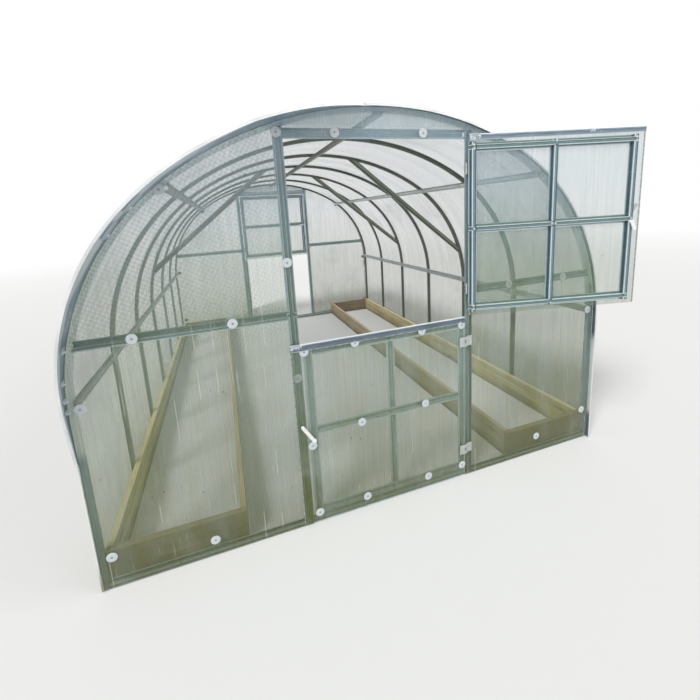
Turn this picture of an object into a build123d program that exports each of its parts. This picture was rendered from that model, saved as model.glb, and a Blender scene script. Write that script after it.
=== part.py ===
from build123d import *
import math
import os

# Lengths in mm. X runs along the front gable, Y into the house, Z up.
# The shape is drawn with the front gable plane at Y = 0.
# At the end it is moved to the centre of its own floor plan.

# Overall form of the arched house
BASE_WIDTH = 3000.0
LENGTH = 4000.0
HEIGHT = 2162.0
CROWN_RADIUS = 1780.0
SHOULDER_RADIUS = 1188.0
BAYS = 6

# Hat profile of galvanised sheet steel, used for every member of the frame
HAT_WIDTH = 48.0
HAT_DEPTH = 22.0
HAT_FOOT = 28.0
HAT_DRAFT = 4.0
STEEL = 1.2

# Polycarbonate sheets
SHEET = 6.0
SEAT = 0.3
SHEET_FOOT = 5.0
SEAM = 1.0
OVERHANG_REAR = 70.0

# Front edge of the cover, cut by hand: nearly flush at the left foot,
# widest over the left shoulder and narrow to the right
OVERHANG_FOOT = 8.0
OVERHANG_SHOULDER = 150.0
OVERHANG_RIGHT = 25.0
LEAN_LOW_Z = 600.0
LEAN_HIGH_Z = 1815.0
TAPER_WIDE_X = -620.0
TAPER_NARROW_X = -80.0

# Metal strip under the edges, with its clearance to the cover
TRIM = 1.2
TRIM_GAP = 1.5

# Gables
DOORWAY = 973.4
LINTEL_GAP = 12.7
RAIL_Z = 1180.0

# Purlins, and the straight corner braces of three arches: 1 on the right, -1 on the left
ROOF_PURLIN_DROP = 347.0
SIDE_PURLIN_Z = 925.0
BRACE_TOP_X = 360.0
BRACE_LOW_Z = 1242.0
BRACE_SIDES = {2: 1, 3: -1, 4: 1}

# Door leaves
LEAF_GAP = 8.7
LEAF_CLEAR = 5.0
LOWER_LAP = 62.0
UPPER_LAP = 45.0
LEAF_FOOT = 30.0
SPLIT_Z = 1033.0
SPLIT_GAP = 6.0
HEAD_GAP = 2.0
LOWER_FOOT_LAP = 30.0
LOWER_HEAD_LAP = 20.0
LOWER_RAIL_Z = 554.0
UPPER_FOOT_LAP = 27.0
UPPER_HEAD_LAP = 44.0
UPPER_RAIL_Z = 1530.0
UPPER_OPEN = 166.3
REAR_OPEN = 86.0

# Hinges and latches
PIN_RADIUS = 2.5
PIN_PLAY = 0.05
KNUCKLE_RADIUS = 4.5
KNUCKLE_HALF = 10.0
KNUCKLE_GAP = 0.5
HINGE_HEIGHT = 60.0
HINGE_PLATE = 36.0
HINGE_STEEL = 2.0
HINGE_INSET = 130.0
HINGE_EDGE = 12.5
LEVER_LENGTH = 125.0
LEVER_WIDTH = 18.0
GRIP_LENGTH = 64.0
GRIP_WIDTH = 20.0
LATCH_HUB = 12.0
LATCH_RISE = 6.0
LOWER_LATCH_Z = 500.0
UPPER_LATCH_Z = 1512.0
LEVER_TURN = 122.0
GRIP_TURN = 247.0
GRIP_ACROSS = 0.0

# Timber edging of the two beds
BOARD = 30.0
BOARD_HEIGHT = 180.0
BED_EDGE_X = 830.0

# Derived values
HALF = BASE_WIDTH / 2
CROWN_Z = HEIGHT - CROWN_RADIUS
SHOULDER_X = HALF - SHOULDER_RADIUS
LEG_HEIGHT = CROWN_Z + math.sqrt((CROWN_RADIUS - SHOULDER_RADIUS) ** 2 - SHOULDER_X**2)
TURN = math.degrees(math.atan2(LEG_HEIGHT - CROWN_Z, SHOULDER_X))
ARCH_INSET = SHEET + SEAT
FRAME_INSET = ARCH_INSET + HAT_DEPTH
PURLIN_INSET = FRAME_INSET + 2 * SEAT
TRIM_INSET = SHEET + TRIM_GAP
PANEL_INSET = TRIM_INSET + TRIM + SEAT
PITCH = (LENGTH - HAT_WIDTH) / BAYS
POST_X = DOORWAY / 2 + HAT_WIDTH / 2
POST_OUTER = DOORWAY / 2 + HAT_WIDTH
LEAF_FACE = -SHEET - LEAF_CLEAR
LEAF_HALF = DOORWAY / 2 - LEAF_GAP
PIN_X = DOORWAY / 2
PIN_Y = LEAF_FACE - SHEET / 2
REACH = 4 * HAT_WIDTH


def plate(face, start, end):
    """Solid of a face drawn in X and Z, from depth start to depth end."""
    return extrude(Plane.XZ.offset(-start) * face, amount=start - end)


def box(x0, x1, y0, y1, z0, z1):
    """Box between two opposite corners."""
    return Pos((x0 + x1) / 2, (y0 + y1) / 2, (z0 + z1) / 2) * Box(x1 - x0, y1 - y0, z1 - z0)


def arch_curve(inset, foot=0.0):
    """Arch line at a distance inside the cover: legs, two shoulders and the flatter crown."""
    half = HALF - inset
    shoulder = SHOULDER_RADIUS - inset
    return Wire(
        [
            Line((half, foot), (half, LEG_HEIGHT)),
            CenterArc((SHOULDER_X, LEG_HEIGHT), shoulder, 0, TURN),
            CenterArc((0, CROWN_Z), CROWN_RADIUS - inset, TURN, 180 - 2 * TURN),
            CenterArc((-SHOULDER_X, LEG_HEIGHT), shoulder, 180 - TURN, TURN),
            Line((-half, LEG_HEIGHT), (-half, foot)),
        ]
    )


def arch_area(inset, foot=0.0):
    """Everything under the arch line."""
    half = HALF - inset
    return make_face([*arch_curve(inset, foot).edges(), Line((-half, foot), (half, foot))])


def arch_band(outer, inner, foot=0.0):
    """Strip between two arch lines."""
    return arch_area(outer, foot) - arch_area(inner, foot)


def hat_section():
    """Hat profile: two flanges on the sheet side, sloping webs and a narrower crown."""
    edge = HAT_WIDTH / 2
    foot = HAT_FOOT / 2
    top = foot - HAT_DRAFT
    right = [
        (edge, 0),
        (edge, STEEL),
        (foot, STEEL),
        (top, HAT_DEPTH),
    ]
    inner = [
        (top - STEEL, HAT_DEPTH - STEEL),
        (foot - STEEL, 0),
    ]
    outside = right + [(-x, y) for x, y in reversed(right)]
    inside = [(-x, y) for x, y in reversed(inner)] + inner
    return make_face(Polyline(*outside, *inside, close=True))


def hat_bar(start, end, crown):
    """Straight member from start to end, its crown turned towards the crown direction."""
    run = Vector(end) - Vector(start)
    across = Vector(crown).cross(run).normalized()
    return extrude(Plane(origin=start, x_dir=across, z_dir=run) * hat_section(), amount=run.length)


def hat_arch(depth):
    """Hat profile swept round the arch line, centred on a depth."""
    path = Plane.XZ.offset(-depth) * arch_curve(ARCH_INSET)
    foot = Plane(origin=(HALF - ARCH_INSET, depth, 0), x_dir=(0, 1, 0), z_dir=(0, 0, 1))
    return sweep(foot * hat_section(), path=path)


def arch_side(inset, height):
    """Place and inward direction on the right side of the arch line at a height."""
    if height < LEG_HEIGHT:
        return (HALF - inset, height), (-1, 0)
    centre_x, centre_z, radius = SHOULDER_X, LEG_HEIGHT, SHOULDER_RADIUS - inset
    if height > LEG_HEIGHT + radius * math.sin(math.radians(TURN)):
        centre_x, centre_z, radius = 0, CROWN_Z, CROWN_RADIUS - inset
    rise = math.asin((height - centre_z) / radius)
    reach = centre_x + radius * math.cos(rise)
    return (reach, height), (-math.cos(rise), -math.sin(rise))


def arch_top(inset, x):
    """Height of the arch line at a distance from the middle."""
    if x < (CROWN_RADIUS - inset) * math.cos(math.radians(TURN)):
        return CROWN_Z + math.sqrt((CROWN_RADIUS - inset) ** 2 - x**2)
    return LEG_HEIGHT + math.sqrt((SHOULDER_RADIUS - inset) ** 2 - (x - SHOULDER_X) ** 2)


# Heights in the doorway, from the arch above it
LINTEL_Z = arch_top(FRAME_INSET, DOORWAY / 2) - LINTEL_GAP - HAT_WIDTH / 2
LOWER_SHEET = (LEAF_FOOT, SPLIT_Z - SPLIT_GAP / 2)
LOWER_LEAF = (LOWER_SHEET[0] + LOWER_FOOT_LAP, LOWER_SHEET[1] - LOWER_HEAD_LAP)
UPPER_SHEET = (SPLIT_Z + SPLIT_GAP / 2, LINTEL_Z - HEAD_GAP)
UPPER_LEAF = (UPPER_SHEET[0] + UPPER_FOOT_LAP, UPPER_SHEET[1] - UPPER_HEAD_LAP)


def both_sides(shape):
    """A shape and its mirror image across the middle of the house."""
    return [shape, mirror(shape, about=Plane.YZ)]


def rear(shapes):
    """The same pieces turned round to the far gable."""
    turn = Pos(0, LENGTH, 0) * Rot(0, 0, 180)
    return [turn * shape for shape in shapes]


def arches():
    """Arches at an even pitch, one more than the bays."""
    first = hat_arch(HAT_WIDTH / 2)
    inner = [f"arch_{number}" for number in range(2, BAYS + 1)]
    names = ["front_arch", *inner, "rear_arch"]
    return {name: [Pos(0, PITCH * index, 0) * first] for index, name in enumerate(names)}


def gable_posts():
    """Two door posts that run from the ground to the arch."""
    room = plate(arch_area(FRAME_INSET), 0, HAT_DEPTH)
    return both_sides(hat_bar((POST_X, 0, 0), (POST_X, 0, HEIGHT), (0, 1, 0)) & room)


def gable_rails():
    """Middle rails, lintel and the three lengths of the bottom rail."""
    sill_z = HAT_WIDTH / 2
    edge = HALF - FRAME_INSET
    room = plate(arch_area(FRAME_INSET), 0, HAT_DEPTH)
    middle = hat_bar((POST_OUTER, 0, RAIL_Z), (HALF, 0, RAIL_Z), (0, 1, 0)) & room
    low = hat_bar((POST_OUTER, 0, sill_z), (edge, 0, sill_z), (0, 1, 0))
    lintel = hat_bar((-DOORWAY / 2, 0, LINTEL_Z), (DOORWAY / 2, 0, LINTEL_Z), (0, 1, 0))
    threshold = hat_bar((-DOORWAY / 2, 0, sill_z), (DOORWAY / 2, 0, sill_z), (0, 1, 0))
    return [*both_sides(middle), *both_sides(low), lintel, threshold]


def gable_sheets():
    """Side sheets from the ground to the arch and the piece over the doorway."""
    panel = arch_area(PANEL_INSET, SHEET_FOOT)
    seam = DOORWAY / 2 + 2 * SEAM
    side = panel & Pos((seam + HALF) / 2, HEIGHT / 2) * Rectangle(HALF - seam, HEIGHT)
    sill = LINTEL_Z - HAT_WIDTH / 2
    over = panel & Pos(0, (sill + HEIGHT) / 2) * Rectangle(2 * (seam - SEAM), HEIGHT - sill)
    return [*both_sides(plate(side, -SHEET, 0)), plate(over, -SHEET, 0)]


def front_cut():
    """Everything in front of the cover's edge: one outline in plan and one from the left side."""
    far = 2 * BASE_WIDTH
    plan = Polyline(
        (-far, -far),
        (far, -far),
        (far, -OVERHANG_RIGHT),
        (TAPER_NARROW_X, -OVERHANG_RIGHT),
        (TAPER_WIDE_X, -OVERHANG_SHOULDER),
        (-far, -OVERHANG_SHOULDER),
        close=True,
    )
    lean = Polyline(
        (-far, 0),
        (-OVERHANG_FOOT, 0),
        (-OVERHANG_FOOT, LEAN_LOW_Z),
        (-OVERHANG_SHOULDER, LEAN_HIGH_Z),
        (-far, LEAN_HIGH_Z),
        close=True,
    )
    ahead = extrude(make_face(plan), amount=far)
    left = extrude(Plane.YZ * make_face(lean), amount=-far)
    return [ahead, left]


def cover_sheets():
    """Two bent sheets that meet over the middle arch."""
    band = arch_band(0, SHEET, SHEET_FOOT)
    middle = LENGTH / 2
    front = plate(band, -2 * OVERHANG_SHOULDER, middle - SEAM / 2) - front_cut()
    back = plate(band, middle + SEAM / 2, LENGTH + OVERHANG_REAR)
    return front, back


def edge_trims():
    """Bare metal strips under the overhanging edges of the cover."""
    band = arch_band(TRIM_INSET, TRIM_INSET + TRIM, SHEET_FOOT)
    front = plate(band, -2 * OVERHANG_SHOULDER, 0) - front_cut()
    back = plate(band, LENGTH, LENGTH + OVERHANG_REAR)
    return front, back


def purlins():
    """Ridge, roof and side purlins from gable to gable."""
    top = HEIGHT - PURLIN_INSET
    ridge = hat_bar((0, 0, top), (0, LENGTH, top), (0, 0, -1))
    nodes = {"ridge_purlin": [ridge]}
    heights = {"roof_purlins": HEIGHT - ROOF_PURLIN_DROP, "side_purlins": SIDE_PURLIN_Z}
    for name, height in heights.items():
        (x, z), (across, down) = arch_side(PURLIN_INSET, height)
        nodes[name] = both_sides(hat_bar((x, 0, z), (x, LENGTH, z), (across, 0, down)))
    return nodes


def roof_braces():
    """Straight corner braces across the shoulder of three arches, trimmed to the inside of each."""
    top = Vector(BRACE_TOP_X, 0, arch_top(PURLIN_INSET, BRACE_TOP_X))
    (low_x, low_z), _ = arch_side(PURLIN_INSET, BRACE_LOW_Z)
    low = Vector(low_x, 0, low_z)
    beyond = (low - top).normalized() * REACH
    braces = []
    for bay, side in BRACE_SIDES.items():
        y = PITCH * bay + (HAT_WIDTH + HAT_DEPTH) / 2
        place = Vector(0, y, 0)
        bar = hat_bar(top - beyond + place, low + beyond + place, (0, -1, 0))
        brace = bar & plate(arch_area(PURLIN_INSET), y - REACH, y + REACH)
        braces.append(both_sides(brace)[0 if side > 0 else 1])
    return braces


def bed_boards():
    """Timber edging of the two beds along the side walls."""
    outer = HALF - FRAME_INSET
    near = HAT_DEPTH
    start = near + BOARD
    side = box(outer - BOARD, outer, start, LENGTH - start, 0, BOARD_HEIGHT)
    edge = box(BED_EDGE_X, BED_EDGE_X + BOARD, start, LENGTH - start, 0, BOARD_HEIGHT)
    end = box(BED_EDGE_X, outer, near, start, 0, BOARD_HEIGHT)
    ends = both_sides(end)
    return {
        "outer_bed_boards": both_sides(side),
        "inner_bed_boards": both_sides(edge),
        "end_bed_boards": ends + rear(ends),
    }


def leaf_frame(low, high, rail_z, barred):
    """Welded frame of one leaf: stiles and three rails, on a front leaf with a middle bar."""
    crown = (0, 1, 0)
    half = HAT_WIDTH / 2
    stile = LEAF_HALF - half
    tuck = half - HAT_FOOT / 2
    inner = stile - half + tuck
    frame = hat_bar((stile, LEAF_FACE, low), (stile, LEAF_FACE, high), crown)
    frame += hat_bar((-stile, LEAF_FACE, low), (-stile, LEAF_FACE, high), crown)
    for z in (low + half, rail_z, high - half):
        frame += hat_bar((-inner, LEAF_FACE, z), (inner, LEAF_FACE, z), crown)
    spans = ((low + half, rail_z), (rail_z, high - half)) if barred else ()
    for bottom, top in spans:
        foot = bottom + half - tuck
        head = top - half + tuck
        frame += hat_bar((0, LEAF_FACE, foot), (0, LEAF_FACE, head), crown)
    return frame


def leaf_sheet(low, high, lap):
    """Sheet of one leaf, lapping over the free side, the top and the bottom."""
    right = PIN_X - HINGE_EDGE
    return box(-LEAF_HALF - lap, right, LEAF_FACE - SHEET, LEAF_FACE, low, high)


def hinge_heights(low, high):
    """Heights of the two hinges of a leaf."""
    return (low + HINGE_INSET, high - HINGE_INSET)


def knuckle(z0, z1, radius):
    """Round piece on the hinge line."""
    return Pos(PIN_X, PIN_Y, (z0 + z1) / 2) * Cylinder(radius, z1 - z0)


def fixed_hinge(z):
    """Plate on the post with the middle knuckle and the pin."""
    back = -SHEET
    half = HINGE_HEIGHT / 2
    inner = PIN_X + KNUCKLE_RADIUS + HINGE_STEEL
    wing = box(inner, inner + HINGE_PLATE, back - HINGE_STEEL, back, z - half, z + half)
    arm = box(PIN_X, inner + HINGE_STEEL, back - 3 * HINGE_STEEL, back, z - KNUCKLE_HALF, z + KNUCKLE_HALF)
    barrel = knuckle(z - KNUCKLE_HALF, z + KNUCKLE_HALF, KNUCKLE_RADIUS)
    return wing + arm + barrel + knuckle(z - half, z + half, PIN_RADIUS)


def leaf_hinge(z):
    """Plate on the leaf with the outer knuckles, bored for the pin."""
    face = LEAF_FACE - SHEET
    half = HINGE_HEIGHT / 2
    wing = box(PIN_X - HINGE_PLATE - HINGE_EDGE, PIN_X, face - HINGE_STEEL, face, z - half, z + half)
    notch = KNUCKLE_HALF + KNUCKLE_GAP
    gap = box(PIN_X - HINGE_EDGE, PIN_X + HINGE_EDGE, face - HINGE_STEEL, face, z - notch, z + notch)
    hinge = wing - gap
    for z0, z1 in ((z - half, z - notch), (z + notch, z + half)):
        hinge += knuckle(z0, z1, KNUCKLE_RADIUS)
    return hinge - knuckle(z - half, z + half, PIN_RADIUS + PIN_PLAY)


def latch_arm(length, width, turn, start, end):
    """Flat arm that reaches from the hub at an angle above the right, its outer edges broken."""
    arm = plate(Pos((length - width) / 2, 0) * SlotOverall(length, width), start, end)
    outer = arm.faces().sort_by(Axis.Y)[0 if end <= LEAF_FACE else -1]
    return Rot(0, -turn, 0) * chamfer(outer.edges(), LATCH_RISE / 4)


def leaf_latch(z, grip_turn):
    """Turn latch on the free stile: long lever outside, short grip inside."""
    face = LEAF_FACE - SHEET
    lever = latch_arm(LEVER_LENGTH, LEVER_WIDTH, LEVER_TURN, face - 2 * LATCH_RISE, face - LATCH_RISE)
    lever += plate(Circle(LATCH_HUB), face - LATCH_RISE, face)
    back = LEAF_FACE + HAT_DEPTH
    grip = latch_arm(GRIP_LENGTH, GRIP_WIDTH, grip_turn, back + LATCH_RISE, back + 2 * LATCH_RISE)
    grip += plate(Circle(GRIP_WIDTH / 2), back, back + LATCH_RISE)
    place = Pos(HAT_WIDTH / 2 - LEAF_HALF, 0, z)
    return [place * lever, place * grip]


def leaf(side, name, angle=0.0, grip_turn=GRIP_TURN):
    """Every node of one leaf, closed or swung open about its pin."""
    span, sheet, rail_z, latch_z, lap = {
        "lower": (LOWER_LEAF, LOWER_SHEET, LOWER_RAIL_Z, LOWER_LATCH_Z, LOWER_LAP),
        "upper": (UPPER_LEAF, UPPER_SHEET, UPPER_RAIL_Z, UPPER_LATCH_Z, UPPER_LAP),
    }[name]
    swing = Pos(PIN_X, PIN_Y, 0) * Rot(0, 0, angle) * Pos(-PIN_X, -PIN_Y, 0)
    pieces = {
        "frame": [leaf_frame(*span, rail_z, side == "front")],
        "sheet": [leaf_sheet(*sheet, lap)],
        "hinges": [leaf_hinge(z) for z in hinge_heights(*span)],
        "latch": leaf_latch(latch_z, grip_turn),
    }
    placed = {key: [swing * shape for shape in shapes] for key, shapes in pieces.items()}
    if side == "rear":
        placed = {key: rear(shapes) for key, shapes in placed.items()}
    return {f"{side}_{name}_door_{key}": shapes for key, shapes in placed.items()}


def gables():
    """Posts, rails, sheets and fixed hinge plates of both ends."""
    heights = hinge_heights(*LOWER_LEAF) + hinge_heights(*UPPER_LEAF)
    front = {
        "posts": gable_posts(),
        "rails": gable_rails(),
        "sheets": gable_sheets(),
        "hinge_plates": [fixed_hinge(z) for z in heights],
    }
    nodes = {}
    for name, shapes in front.items():
        nodes[f"front_{name}"] = shapes
        nodes[f"rear_{name}"] = rear(shapes)
    return nodes


def house():
    """All nodes of the greenhouse by name."""
    nodes = {**arches(), **gables(), **purlins(), **bed_boards()}
    nodes["roof_braces"] = roof_braces()
    front_cover, rear_cover = cover_sheets()
    front_trim, rear_trim = edge_trims()
    nodes["front_cover"] = [front_cover]
    nodes["rear_cover"] = [rear_cover]
    nodes["front_trim"] = [front_trim]
    nodes["rear_trim"] = [rear_trim]
    nodes.update(leaf("front", "lower"))
    nodes.update(leaf("front", "upper", angle=UPPER_OPEN))
    nodes.update(leaf("rear", "lower", angle=REAR_OPEN))
    nodes.update(leaf("rear", "upper", grip_turn=GRIP_ACROSS))
    return nodes


def main():
    os.makedirs("parts", exist_ok=True)
    nodes = house()
    spans = [shape.bounding_box() for shapes in nodes.values() for shape in shapes]
    middle = (min(s.min.Y for s in spans) + max(s.max.Y for s in spans)) / 2
    middle = round(middle, 1)
    print("moved back by", middle)
    print("pins of the front leaves", PIN_X, PIN_Y - middle)
    print("pins of the rear leaves", -PIN_X, LENGTH - PIN_Y - middle)
    for name, shapes in nodes.items():
        placed = [Pos(0, -middle, 0) * shape for shape in shapes]
        solids = [solid for shape in placed for solid in shape.solids()]
        shape = solids[0] if len(solids) == 1 else Compound(children=solids)
        export_step(shape, f"parts/{name}.step")
        print(name, len(solids))


main()
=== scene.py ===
import math

import bmesh
import bpy
from bpy.props import FloatProperty, FloatVectorProperty, IntProperty, PointerProperty
from bpy.types import Operator, Panel, PropertyGroup
from mathutils import Matrix, Vector


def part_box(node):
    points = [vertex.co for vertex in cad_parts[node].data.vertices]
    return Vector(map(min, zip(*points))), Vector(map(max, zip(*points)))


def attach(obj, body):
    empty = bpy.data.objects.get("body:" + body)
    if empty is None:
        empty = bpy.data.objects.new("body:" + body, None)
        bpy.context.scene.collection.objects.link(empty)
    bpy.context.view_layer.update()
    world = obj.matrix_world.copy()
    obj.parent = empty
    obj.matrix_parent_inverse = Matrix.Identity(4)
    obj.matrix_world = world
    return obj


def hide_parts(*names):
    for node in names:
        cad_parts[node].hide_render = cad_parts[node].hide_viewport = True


bl_info = {
    "name": "Arched greenhouse looks",
    "version": (1, 0, 0),
    "blender": (4, 5, 0),
    "location": "View3D > Sidebar > Greenhouse",
    "description": "Weathered sheets, galvanised steel, boards and small fittings of an arched greenhouse",
    "category": "Object",
}

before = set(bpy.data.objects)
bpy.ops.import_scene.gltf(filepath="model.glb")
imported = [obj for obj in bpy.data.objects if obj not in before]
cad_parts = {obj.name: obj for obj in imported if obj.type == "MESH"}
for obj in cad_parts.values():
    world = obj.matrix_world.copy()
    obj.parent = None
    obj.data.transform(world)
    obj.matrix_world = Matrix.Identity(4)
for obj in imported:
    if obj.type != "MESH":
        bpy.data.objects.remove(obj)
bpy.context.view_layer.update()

# Places taken from the frame, in metres
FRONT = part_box("front_posts")[0].y
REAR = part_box("rear_posts")[1].y
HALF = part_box("front_cover")[1].x
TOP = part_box("front_cover")[1].z
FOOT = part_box("front_cover")[0].z
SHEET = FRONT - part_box("front_sheets")[0].y
DOOR_LOW, DOOR_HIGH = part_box("front_lower_door_sheet")
LEAF_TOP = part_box("front_upper_door_sheet")[1].z
PIN = Vector((0.4867, FRONT - 0.014, 0.0))

# A hat profile across its flanges, and from its flanges to its crown
HAT_WIDTH = 0.048
HAT_DEPTH = 0.022

# The arch line of the house: upright legs, two shoulders and a crown
CROWN_RADIUS = 1.780
SHOULDER_RADIUS = 1.188
CROWN_Z = TOP - CROWN_RADIUS
SHOULDER_X = HALF - SHOULDER_RADIUS
LEG_HEIGHT = CROWN_Z + math.sqrt((CROWN_RADIUS - SHOULDER_RADIUS) ** 2 - SHOULDER_X**2)
TURN = math.atan2(LEG_HEIGHT - CROWN_Z, SHOULDER_X)
ARCH_NAMES = ["front_arch", *[f"arch_{number}" for number in range(2, 7)], "rear_arch"]
ARCH_YS = [sum(corner.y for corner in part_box(name)) / 2 for name in ARCH_NAMES]
PURLIN_FACE = 0.0511
SIDE_PURLIN_Z = 0.925
ROOF_PURLIN_DROP = 0.347
POST_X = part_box("front_posts")[1].x - HAT_WIDTH / 2
STILE_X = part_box("front_lower_door_frame")[1].x - HAT_WIDTH / 2
MIDDLE_RAIL_Z = 1.18
LINTEL_Z = LEAF_TOP + 0.002
LEAF_RAILS = {"lower": (0.084, 0.554, 0.986), "upper": (1.087, 1.530, 1.958)}

# The front edge of the cover: on the left it leans out from the foot to the shoulder, and it tapers over the crown
FOOT_REACH = 0.008
LEAN_REACH = 0.142
LEAN_LOW = 0.6
LEAN_HIGH = 1.815
LEAN_RISE = 1.215
TAPER_WIDE = -0.62
TAPER_NARROW = -0.08

# The back of the strip, inside the gable sheet, and the thickness of its metal
STRIP_BACK = FRONT - SHEET - 0.001
STRIP_METAL = 0.0009

# How a piece of the front gable gets to the rear one, and a closed leaf to its open place
TO_REAR = Matrix.Translation((0, FRONT + REAR, 0)) @ Matrix.Rotation(math.pi, 4, "Z")
AS_BUILT = Matrix.Identity(4)


def swung(degrees):
    """Turns a closed front leaf open about its pin."""
    return Matrix.Translation(PIN) @ Matrix.Rotation(math.radians(degrees), 4, "Z") @ Matrix.Translation(-PIN)


# Where each leaf stands, from its closed place in the front gable
LEAVES = {
    "front_lower_door": AS_BUILT,
    "front_upper_door": swung(166.3),
    "rear_lower_door": TO_REAR @ swung(86.0),
    "rear_upper_door": TO_REAR,
}
FREE_EDGES = {"lower": DOOR_LOW.x, "upper": -0.523}


def half_of(leaf):
    """Whether a leaf is the lower or the upper one."""
    return leaf.split("_")[1]


# The loose ends on the front strip: height, depth, length and how far each stands off
FLAPS = [
    (1.745, 0.075, 0.090, 0.003), (1.645, 0.068, 0.085, 0.003), (1.186, 0.034, 0.030, 0.003),
    (1.046, 0.030, 0.022, 0.004), (0.965, 0.028, 0.020, 0.004), (0.914, 0.024, 0.018, 0.004),
]

# Washer places on the gable as (x, z), seen from outside
GABLE_WASHERS = [
    (-1.024, 1.80), (-1.212, 1.18), (-0.793, 1.183), (-1.445, 0.907), (-1.436, 0.167), (-0.991, 0.09),
    (-0.515, 1.441), (-0.517, 2.032), (-0.513, 0.853), (-0.241, 2.032), (0.233, 2.032),
    (1.024, 1.80), (1.212, 1.18), (0.793, 1.183), (1.440, 0.933), (1.436, 0.218), (1.043, 0.12),
]
LOWER_WASHERS = [
    (-0.472, 0.989), (-0.201, 0.992), (0.194, 0.992), (-0.464, 0.472), (-0.185, 0.538), (0.207, 0.556),
    (-0.454, 0.072), (-0.175, 0.078), (0.217, 0.084), (0.452, 0.985), (0.452, 0.09),
]
UPPER_WASHERS = [
    (-0.466, 1.945), (-0.19, 1.958), (0.2, 1.958), (0.452, 1.945), (-0.466, 1.30), (-0.185, 1.53),
    (0.2, 1.53), (-0.466, 1.09), (-0.18, 1.088), (0.2, 1.088), (0.452, 1.09),
]


class Wire:
    """A value on its way between two nodes, which takes part in sums as a number does."""

    def __init__(self, finish, socket):
        self.finish = finish
        self.socket = socket

    def __add__(self, other):
        return self.finish.maths("ADD", self, other)

    def __radd__(self, other):
        return self.finish.maths("ADD", other, self)

    def __sub__(self, other):
        return self.finish.maths("SUBTRACT", self, other)

    def __rsub__(self, other):
        return self.finish.maths("SUBTRACT", other, self)

    def __mul__(self, other):
        return self.finish.maths("MULTIPLY", self, other)

    def __rmul__(self, other):
        return self.finish.maths("MULTIPLY", other, self)

    def __truediv__(self, other):
        return self.finish.maths("DIVIDE", self, other)

    def __rtruediv__(self, other):
        return self.finish.maths("DIVIDE", other, self)


class Finish:
    """One procedural finish and the nodes it is made of."""

    def __init__(self, name, owner=None):
        self.owner = owner or bpy.data.materials.new(name)
        self.owner.use_nodes = True
        self.tree = self.owner.node_tree
        self.tree.nodes.clear()

    def node(self, kind, settings, values, result=0):
        """Adds a node, sets it up, feeds its sockets and returns what leaves it."""
        made = self.tree.nodes.new(kind)
        for name, value in settings.items():
            if name == "stops":
                self.set_stops(made.color_ramp.elements, value)
            else:
                setattr(made, name, value)
        for socket, value in values.items():
            if isinstance(value, Wire):
                self.tree.links.new(value.socket, made.inputs[socket])
            else:
                made.inputs[socket].default_value = value
        return Wire(self, made.outputs[result]) if len(made.outputs) else None

    def maths(self, operation, first, second=0.0, third=0.0):
        return self.node("ShaderNodeMath", {"operation": operation}, {0: first, 1: second, 2: third})

    def ease(self, value, low, high):
        """0 at low, 1 at high, and a smooth change between them."""
        spread = {"Value": value, "From Min": low, "From Max": high}
        return self.node("ShaderNodeMapRange", {"interpolation_type": "SMOOTHSTEP"}, spread)

    def clamp(self, value, low, high):
        return self.node("ShaderNodeClamp", {}, {"Value": value, "Min": low, "Max": high})

    def mix(self, factor, first, second, blend="MIX"):
        values = {0: factor, 6: first, 7: second}
        return self.node("ShaderNodeMix", {"data_type": "RGBA", "blend_type": blend}, values, 2)

    def set_stops(self, row, stops):
        """Gives a colour ramp its row of (place, colour) stops."""
        for element, (spot, colour) in zip(row, (stops[0], stops[-1])):
            element.position, element.color = spot, shade(colour)
        for spot, colour in stops[1:-1]:
            row.new(spot).color = shade(colour)

    def ramp(self, value, stops):
        return self.node("ShaderNodeValToRGB", {"stops": stops}, {"Fac": value})

    def place(self, centre=(0, 0, 0), turn=(0, 0, 0), scale=(1, 1, 1)):
        """Object coordinates, moved to a centre, turned back and divided by a scale."""
        here = self.node("ShaderNodeTexCoord", {}, {}, "Object")
        values = {"Vector": here, "Location": centre, "Rotation": turn, "Scale": scale}
        return self.node("ShaderNodeMapping", {"vector_type": "TEXTURE"}, values)

    def leaf_axes(self, matrix):
        """Coordinates of a leaf as if it were closed in the front gable."""
        x, y, z = self.axes(self.place(tuple(matrix @ PIN), tuple(matrix.to_euler())))
        return x + PIN.x, y + PIN.y, z

    def axes(self, vector):
        return [self.node("ShaderNodeSeparateXYZ", {}, {"Vector": vector}, axis) for axis in "XYZ"]

    def vector(self, x, y, z):
        return self.node("ShaderNodeCombineXYZ", {}, {"X": x, "Y": y, "Z": z})

    def noise(self, vector, scale, detail=3.0, rough=0.5, twist=0.0):
        values = {"Vector": vector, "Scale": scale, "Detail": detail, "Roughness": rough, "Distortion": twist}
        return self.node("ShaderNodeTexNoise", {}, values)

    def cells(self, vector, scale, result=0):
        values = {"Vector": vector, "Scale": scale, "Randomness": 1.0}
        return self.node("ShaderNodeTexVoronoi", {"feature": "F1"}, values, result)

    def chance(self, value):
        """A random number from 0 to 1 for each whole value."""
        whole = self.maths("FLOOR", value)
        return self.node("ShaderNodeTexWhiteNoise", {"noise_dimensions": "1D"}, {"W": whole})

    def bump(self, height, strength, distance):
        values = {"Height": height, "Strength": strength, "Distance": distance}
        return self.node("ShaderNodeBump", {}, values)

    def surface(self, values):
        """Ends the finish in one plain shader."""
        shader = self.node("ShaderNodeBsdfPrincipled", {}, values)
        self.node("ShaderNodeOutputMaterial", {}, {"Surface": shader})
        return self.owner


def shade(colour, factor=1.0):
    """A colour for a socket, made lighter or darker."""
    return (*[min(1.0, c * factor) for c in colour[:3]], 1.0)


def tones(*steps):
    """Stops of a ramp over 50 mm, from steps that each have an end in mm from the middle and a colour."""
    stops = []
    start = -25.0
    for end, colour in steps:
        stops += [(0.5 + (start + 0.4) / 50.0, colour), (0.5 + (end - 0.4) / 50.0, colour)]
        start = end
    return stops


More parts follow.
